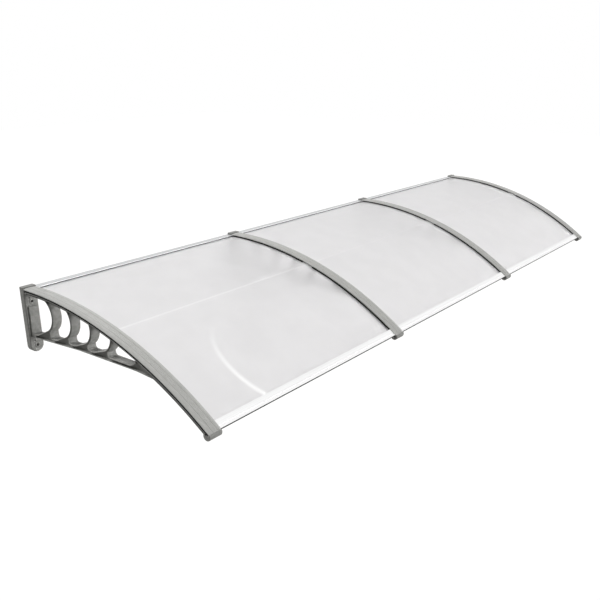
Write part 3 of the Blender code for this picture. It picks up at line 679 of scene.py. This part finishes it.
def sheet_face(lift):
    """One face of the sheet from the wall to the front, with finer points around the crease."""
    fold, half = angle_at(CREASE_REACH), CREASE_HALF / ARCH_RADIUS
    start, end = angle_at(SHEET_START_REACH), angle_ahead(-SHEET_SHORT)
    even = [start + (end - start) * index / SHEET_STEPS for index in range(SHEET_STEPS + 1)]
    near = [fold + half * share for share in CREASE_SHARES]
    angles = sorted([angle for angle in even if abs(angle - fold) > half * CREASE_CLEAR] + near, reverse=True)
    rises = [CREASE_RISE * max(0.0, 1 - abs(angle - fold) / half) for angle in angles]
    return [on_arch(angle, lift + rise - CHORD_DROP) for angle, rise in zip(angles, rises)]


sheet = moulded("sheet", [sheet_face(SHEET_TOP) + sheet_face(SHEET_LOW)[::-1]], SHEET_WIDTH, 0.0)
smooth(sheet, radians(30))

# Frosted polycarbonate: nearly clear plastic whose fine surface haze blurs what lies behind. A painted white
# highlight runs along the crease's ridge, strongest on the left sheet, and a curved white streak near the
# left sheet's front edge is a painted reflection. The lamps' light passes straight through it, a tenth
# weaker.
FROSTED_TONES = ("dbdadb", "dfdedf")
# The white of the painted highlight on the crease and of the painted reflection on the left sheet
PAINTED_HIGHLIGHT_WHITE = "fafafa"
LIGHT_LET_THROUGH = (0.9, 0.9, 0.9, 1)
HAZE_SIZE = 0.09
WAVE_SIZE = 0.045
WAVE_HEIGHT = 0.0002
# The painted reflection on the left sheet follows an arc round this centre and ends at this x
REFLECTION_ARC_CENTRE = (-1.0926, -0.7197, 0.0)
REFLECTION_ARC_RADIUS = 0.1880
REFLECTION_ARC_SIDE = -1.18
polycarbonate, tree = new_material("frosted_polycarbonate")
haze, waves = spots(tree, HAZE_SIZE), spots(tree, WAVE_SIZE, detail=0.0)
bump = add_node(tree, "ShaderNodeBump", {"Height": waves, "Distance": WAVE_HEIGHT, "Strength": 1.0})
place = add_node(tree, "ShaderNodeTexCoord").outputs["Object"]
axes = add_node(tree, "ShaderNodeSeparateXYZ", {0: place})
from_crease = add_node(tree, "ShaderNodeMath", {0: axes.outputs["Y"], 1: CREASE_REACH}, operation="ADD")
off_crease = add_node(tree, "ShaderNodeMath", {0: from_crease.outputs[0]}, operation="ABSOLUTE")
flat = add_node(tree, "ShaderNodeVectorMath", {0: place, 1: (1, 1, 0)}, operation="MULTIPLY")
# How far a point lies from the arc of the painted reflection
around = add_node(tree, "ShaderNodeVectorMath", {0: flat.outputs[0], 1: REFLECTION_ARC_CENTRE}, operation="DISTANCE")
from_reflection_arc = add_node(
    tree, "ShaderNodeMath", {0: around.outputs["Value"], 1: REFLECTION_ARC_RADIUS}, operation="SUBTRACT")
off_reflection_arc = add_node(tree, "ShaderNodeMath", {0: from_reflection_arc.outputs[0]}, operation="ABSOLUTE")

# Each fade goes by a measure, from where it starts to where it ends, with its strength at both. The fades
# shape the painted crease highlight and the painted reflection on the left sheet.
fades = []
for measure, start, end, at_start, at_end in (
        (off_crease.outputs[0], 0.001, 0.005, 1.0, 0.0),
        (axes.outputs["X"], -0.7, -0.3, 0.5, 0.1),
        (off_reflection_arc.outputs[0], 0.002, 0.013, 1.0, 0.0),
        (axes.outputs["X"], REFLECTION_ARC_SIDE - 0.02, REFLECTION_ARC_SIDE, 1.0, 0.0),
        (axes.outputs["Y"], -0.76, -0.56, 0.9, 0.1)):
    fade = add_node(tree, "ShaderNodeMapRange", {
        "Value": measure, "From Min": start, "From Max": end, "To Min": at_start, "To Max": at_end})
    fades.append(fade.outputs[0])
# The painted crease highlight is strongest on the left sheet and faint from the middle sheet on
crease_highlight_line, crease_highlight_share, reflection_line, reflection_across, reflection_along = fades
crease_highlight = add_node(tree, "ShaderNodeMath", {0: crease_highlight_line, 1: crease_highlight_share}, operation="MULTIPLY")
reflection_share = add_node(tree, "ShaderNodeMath", {0: reflection_across, 1: reflection_along}, operation="MULTIPLY")
painted_reflection = add_node(tree, "ShaderNodeMath", {0: reflection_line, 1: reflection_share.outputs[0]}, operation="MULTIPLY")
painted_highlights = add_node(
    tree, "ShaderNodeMath", {0: crease_highlight.outputs[0], 1: painted_reflection.outputs[0]}, operation="MAXIMUM")
# Mixes the painted highlight and painted reflection white into the frosted tones
colour = add_node(
    tree, "ShaderNodeMix",
    {"Factor": painted_highlights.outputs[0], 6: clouded(tree, haze, *FROSTED_TONES), 7: linear(PAINTED_HIGHLIGHT_WHITE)},
    data_type="RGBA")
shader = add_node(tree, "ShaderNodeBsdfPrincipled", {
    "Base Color": colour.outputs[2], "Roughness": 0.3, "IOR": 1.585, "Transmission Weight": 0.85,
    "Normal": bump.outputs[0]})
clear = add_node(tree, "ShaderNodeBsdfTransparent", {"Color": LIGHT_LET_THROUGH})
lamp_ray = add_node(tree, "ShaderNodeLightPath").outputs["Is Shadow Ray"]
either = add_node(tree, "ShaderNodeMixShader", {0: lamp_ray, 1: shader.outputs[0], 2: clear.outputs[0]})
add_node(tree, "ShaderNodeOutputMaterial", {"Surface": either.outputs[0]})
placed_copies(sheet, BAY_PLACES, [f"sheet_{bay}" for bay in BAY_NAMES], polycarbonate,
              [[f"panel_{bay}"] for bay in BAY_NAMES])


# Edge bars
# A bright extruded aluminium bar caps each sheet's front edge and a hollow, duller one its wall edge. Their
# ends plug into the sockets in the brackets.
SPAN = 0.9494
TENON_LENGTH = 0.012
BAR_EDGE = 0.0003
CUT_SPARE = 0.05
# The front bar's section as (ahead, lift), and the other sections as rear, front, low and high
FRONT_SECTION = (
    (-0.0250, -0.0065), (0.0015, -0.0065), (0.0015, 0.0020), (0.0045, 0.0020), (0.0045, 0.0040),
    (-0.0031, 0.0040), (-0.0037, 0.0026), (-0.0051, 0.0026), (-0.0057, 0.0040), (-0.0250, 0.0040))
FRONT_SLOT = (-0.0400, -0.0015, -0.0030, 0.0006)
FRONT_TENON = (-0.0050, 0.0012, -0.0062, 0.0027)
REAR_SECTION = (0.0, 0.0315, -0.0115, 0.0045)
REAR_CHAMBER = (0.0030, 0.0225, -0.0095, 0.0025)
REAR_SLOT = (0.0255, 0.0500, -0.0030, 0.0028)
REAR_TENON = (0.0230, 0.0312, -0.0065, 0.0027)


def bar(name, section, slot, tenon):
    """A bar with a slot for the sheet and thinner ends. A second outline in its section is a chamber."""
    body = moulded(name, section, SPAN, BAR_EDGE)
    end = moulded("tenon", [tenon], SPAN + 2 * TENON_LENGTH, BAR_EDGE)
    cut = moulded("slot", [slot], SPAN + 2 * CUT_SPARE, 0.0)
    return combine(combine(body, [end], "UNION"), [cut], "DIFFERENCE")


front_bar = bar("front_bar", [[at_front(ahead, lift) for ahead, lift in FRONT_SECTION]],
                front_box(*FRONT_SLOT), front_box(*FRONT_TENON))
smooth(front_bar)
rear_bar = bar("rear_bar", [rear_box(*REAR_SECTION), rear_box(*REAR_CHAMBER)],
               rear_box(*REAR_SLOT), rear_box(*REAR_TENON))
smooth(rear_bar)

# Bright-rolled aluminium: almost white, with faint drawing lines along the bar.
bright_aluminium = finished(
    "bright_extruded_aluminium", tones=("ebebeb", "f6f6f6"), cloud=0.0016, grain=0.0006, depth=0.00002,
    roughness=(0.30, 0.40), stretch=(400, 1, 1), sockets={"Metallic": 1.0})
# Mill-finish aluminium: greyer and rougher, as it leaves the press.
mill_aluminium = finished(
    "mill_finish_aluminium", tones=("b9babb", "c9cacb"), cloud=0.0020, grain=0.0006, depth=0.00003,
    roughness=(0.40, 0.52), stretch=(300, 1, 1), sockets={"Metallic": 1.0})
placed_copies(front_bar, BAY_PLACES, [f"front_edge_bar_{bay}" for bay in BAY_NAMES], bright_aluminium,
              [[f"front_bar_{bay}"] for bay in BAY_NAMES])
placed_copies(rear_bar, BAY_PLACES, [f"wall_edge_bar_{bay}" for bay in BAY_NAMES], mill_aluminium,
              [[f"rear_bar_{bay}"] for bay in BAY_NAMES])


# Seals
# Black EPDM rubber fills the brackets' slots beside the sheets, hangs as a lip over the front bar's face and
# lies between the rear bar and the sheet. All of it is pushed in and holds by its own springiness.
SEAL_LOW = 0.0006
SEAL_TOP = 0.0030
SEAL_DEEP = 0.0170
SEAL_ROUND = 0.0006
# How far from a bracket's middle the rubber reaches: to its right, to its left, and in the outer slots
NARROW_FACE = 0.0262
WIDE_FACE = 0.0315
OUTER_FACE = 0.0245
SEAL_START = angle_at(0.0326)
OUTER_SEAL_END = angle_ahead(-0.0058)
INNER_SEAL_END = angle_ahead(-0.0255)
BREAK_HALF = 0.026 / ARCH_RADIUS
# The lip and the wedge as rear, front, low and high, with a radius for each corner
LIP = (0.0018, 0.0048, -0.0085, 0.0017)
LIP_ROUNDS = (0.0005, 0.0014, 0.0003, 0.0)
WEDGE = (0.0258, 0.0323, SEAL_LOW, 0.0025)
WEDGE_ROUNDS = (0.0, 0.0004, 0.0008, 0.0)

# Rubber with a dull, dusty surface that throws back very little light.
rubber = finished(
    "black_epdm_rubber", tones=("080808", "101010"), cloud=0.0040, grain=0.0008, depth=0.00006,
    roughness=(0.75, 0.90), sockets={"IOR": 1.52, "Specular IOR Level": 0.15})


def slot_seal(start, end, low, side, face):
    """A rubber strip along one side of a bracket, between two angles of the arch."""
    outline = arch_points(low, start, end) + arch_points(SEAL_TOP, start, end)[::-1]
    middle = side * (face + SEAL_DEEP) / 2
    return moulded("seal", [outline], face - SEAL_DEEP, SEAL_ROUND, place=(middle, 0, 0))


for number, side in ((1, -1), (4, 1)):
    seal = slot_seal(SEAL_START, OUTER_SEAL_END, SHEET_LOW, side, OUTER_FACE)
    placed_copies(seal, [BRACKET_PLACES[number - 1]], [f"outer_slot_rubber_{number}"], rubber,
                  [[f"slot_seal_{number}_outer"]])
fold = angle_at(CREASE_REACH)
for half, start, end in (
        ("rear", SEAL_START, fold + BREAK_HALF), ("front", fold - BREAK_HALF, INNER_SEAL_END)):
    for edge, side, face, places in (
            ("start", 1, NARROW_FACE, BRACKET_PLACES[:-1]), ("end", -1, WIDE_FACE, BRACKET_PLACES[1:])):
        seal = slot_seal(start, end, SEAL_LOW, side, face)
        placed_copies(
            seal, places, [f"slot_rubber_{bay}_{edge}_{half}" for bay in BAY_NAMES], rubber,
            [[f"slot_seal_{bay}_{edge}_{half}"] for bay in BAY_NAMES])
for name, box, radii in (
        ("front", front_box(*LIP), LIP_ROUNDS), ("rear", rear_box(*WEDGE), WEDGE_ROUNDS)):
    section = rounded([(*corner, radius) for corner, radius in zip(box, radii)])
    seal = moulded("seal", [section], SPAN, 0.0)
    placed_copies(seal, BAY_PLACES, [f"{name}_rubber_{bay}" for bay in BAY_NAMES], rubber,
                  [[f"{name}_seal_{bay}"] for bay in BAY_NAMES])


# Cover strips
# A long extruded strip of grey plastic lies on each bracket's arch and clamps the sheets. It has two grooves,
# fine lines beside them and a sloping wing along each edge, and the screws hold it from below.
STRIP_SEAT = 0.0033
STRIP_EDGE = 0.0029
STRIP_SHOULDER = 0.0048
STRIP_CROWN = 0.0052
STRIP_ROUND = 0.0010
SEAT_BEVEL = 0.0002
WING_WIDTH = 0.0080
GROOVE_OFFSET = 0.0095
GROOVE_WIDTH = 0.0020
GROOVE_DEPTH = 0.0010
GROOVE_LIP = 0.0005
GROOVE_EASE = 0.0002
LINE_PLACES = (0.0152, 0.0130, 0.0062, 0.0036, 0.0012)
LINE_HALF = 0.0004
LINE_DEPTH = 0.0003
STRIP_STEPS = 72
STRIP_HOLE_TOP = 0.0070


def strip_section():
    """Half of the section, from the outer edge to the middle, as (across, lift)."""
    half, top = BRACKET_WIDTH / 2, STRIP_SEAT + STRIP_EDGE
    bend, high, crown = half - WING_WIDTH, STRIP_SEAT + STRIP_SHOULDER, STRIP_SEAT + STRIP_CROWN
    outer, inner = GROOVE_OFFSET + GROOVE_WIDTH / 2, GROOVE_OFFSET - GROOVE_WIDTH / 2
    # The middle of a round lies about 0.29 of its radius inside the corner
    shoulder, corner = half - STRIP_ROUND, STRIP_ROUND * 0.29
    points = [(half - SEAT_BEVEL, STRIP_SEAT), (half, STRIP_SEAT + SEAT_BEVEL), (half, top - STRIP_ROUND),
              (half - corner, top - corner), (shoulder, top), (bend, high)]
    groove = [(outer + GROOVE_LIP, crown - GROOVE_EASE / 2), (outer + GROOVE_EASE, crown - GROOVE_EASE),
              (outer, crown - GROOVE_DEPTH), (inner, crown - GROOVE_DEPTH),
              (inner - GROOVE_EASE, crown - GROOVE_EASE), (inner - GROOVE_LIP, crown)]
    for across in LINE_PLACES:
        if across < inner and groove:
            points += groove
            groove = []
        lift = high + (crown - high) * min(1.0, (bend - across) / (bend - outer))
        points += [(across + LINE_HALF, lift), (across, lift - LINE_DEPTH), (across - LINE_HALF, lift)]
    return points


half = strip_section()
section = half + [(-across, lift) for across, lift in reversed(half)]
mesh = bpy.data.meshes.new("strip")
mesh.from_pydata([(across, *on_arch(STRIP_START, lift)) for across, lift in section], [],
                 [list(range(len(section)))])
strip = bpy.data.objects.new("strip", mesh)
bpy.context.scene.collection.objects.link(strip)
only(strip)
bpy.ops.object.mode_set(mode="EDIT")
bpy.ops.mesh.select_all(action="SELECT")
bpy.ops.mesh.spin(steps=STRIP_STEPS, angle=STRIP_END - STRIP_START, center=(0, *ARCH_CENTRE), axis=(1, 0, 0))
bpy.ops.mesh.select_all(action="SELECT")
bpy.ops.mesh.normals_make_consistent(inside=False)
bpy.ops.object.mode_set(mode="OBJECT")
holes = []
for reach in SCREW_REACHES:
    low, high = [(0, *on_arch(angle_at(reach), lift)) for lift in (0.0, STRIP_HOLE_TOP)]
    holes.append(pin(SCREW_HOLE_RADIUS, low, high, sides=24))
combine(strip, holes, "DIFFERENCE")
smooth(strip, radians(25))

# Extruded plastic: satin, with streaks along the strip where the die has drawn it.
strip_plastic = finished(
    "extruded_grey_plastic", tones=("a8a8a5", "b9b9b6"), cloud=0.0016, grain=0.0006, depth=0.00002,
    roughness=(0.30, 0.40), stretch=(1, 14, 14), sockets={"IOR": 1.5, "Specular IOR Level": 0.3})
placed_copies(strip, BRACKET_PLACES, [f"clamping_strip_{n}" for n in numbers], strip_plastic,
              [[f"cover_strip_{n}"] for n in numbers])


# Screws
# Zinc-plated pan-head screws hold each strip down. They are driven in from below, through the spine of the
# bracket, and have a cross recess.
HEAD_SEAT = SPINE_LOW + 0.0002
HEAD_RADIUS = 0.0040
HEAD_HEIGHT = 0.0024
HEAD_EDGE = 0.0009
SHANK_RADIUS = 0.0020
SHANK_TOP = 0.0067
RECESS_LENGTH = 0.0042
RECESS_WIDTH = 0.0009
RECESS_DEPTH = 0.0014


def strip_screw(reach):
    """A screw that stands square to the arch with its head below."""
    angle = angle_at(reach)
    low, root, seat, top = [
        (0, *on_arch(angle, lift))
        for lift in (HEAD_SEAT - HEAD_HEIGHT, HEAD_SEAT - HEAD_HEIGHT / 4, HEAD_SEAT, SHANK_TOP)]
    head = pin(HEAD_RADIUS, low, seat, HEAD_EDGE, sides=40)
    shank = pin(SHANK_RADIUS, root, top, sides=24)
    blades = []
    for wide, deep in ((RECESS_LENGTH, RECESS_WIDTH), (RECESS_WIDTH, RECESS_LENGTH)):
        bpy.ops.mesh.primitive_cube_add(size=1, location=low, rotation=(-angle, 0, 0),
                                        scale=(wide, deep, 2 * RECESS_DEPTH))
        bpy.ops.object.transform_apply()
        blades.append(bpy.context.object)
    return combine(combine(head, [shank], "UNION"), blades, "DIFFERENCE")


# Zinc plating: a cool, slightly blotchy metal.
zinc = finished(
    "zinc_plated_steel", tones=("b4b7ba", "cbcbc4"), cloud=0.0024, grain=0.0004, depth=0.00002,
    roughness=(0.28, 0.42), sockets={"Metallic": 1.0})
for order, reach in enumerate(SCREW_REACHES, 1):
    screw = strip_screw(reach)
    smooth(screw)
    placed_copies(screw, BRACKET_PLACES, [f"pan_head_screw_{n}_{order}" for n in numbers], zinc,
                  [[f"strip_screw_{n}_{order}"] for n in numbers])
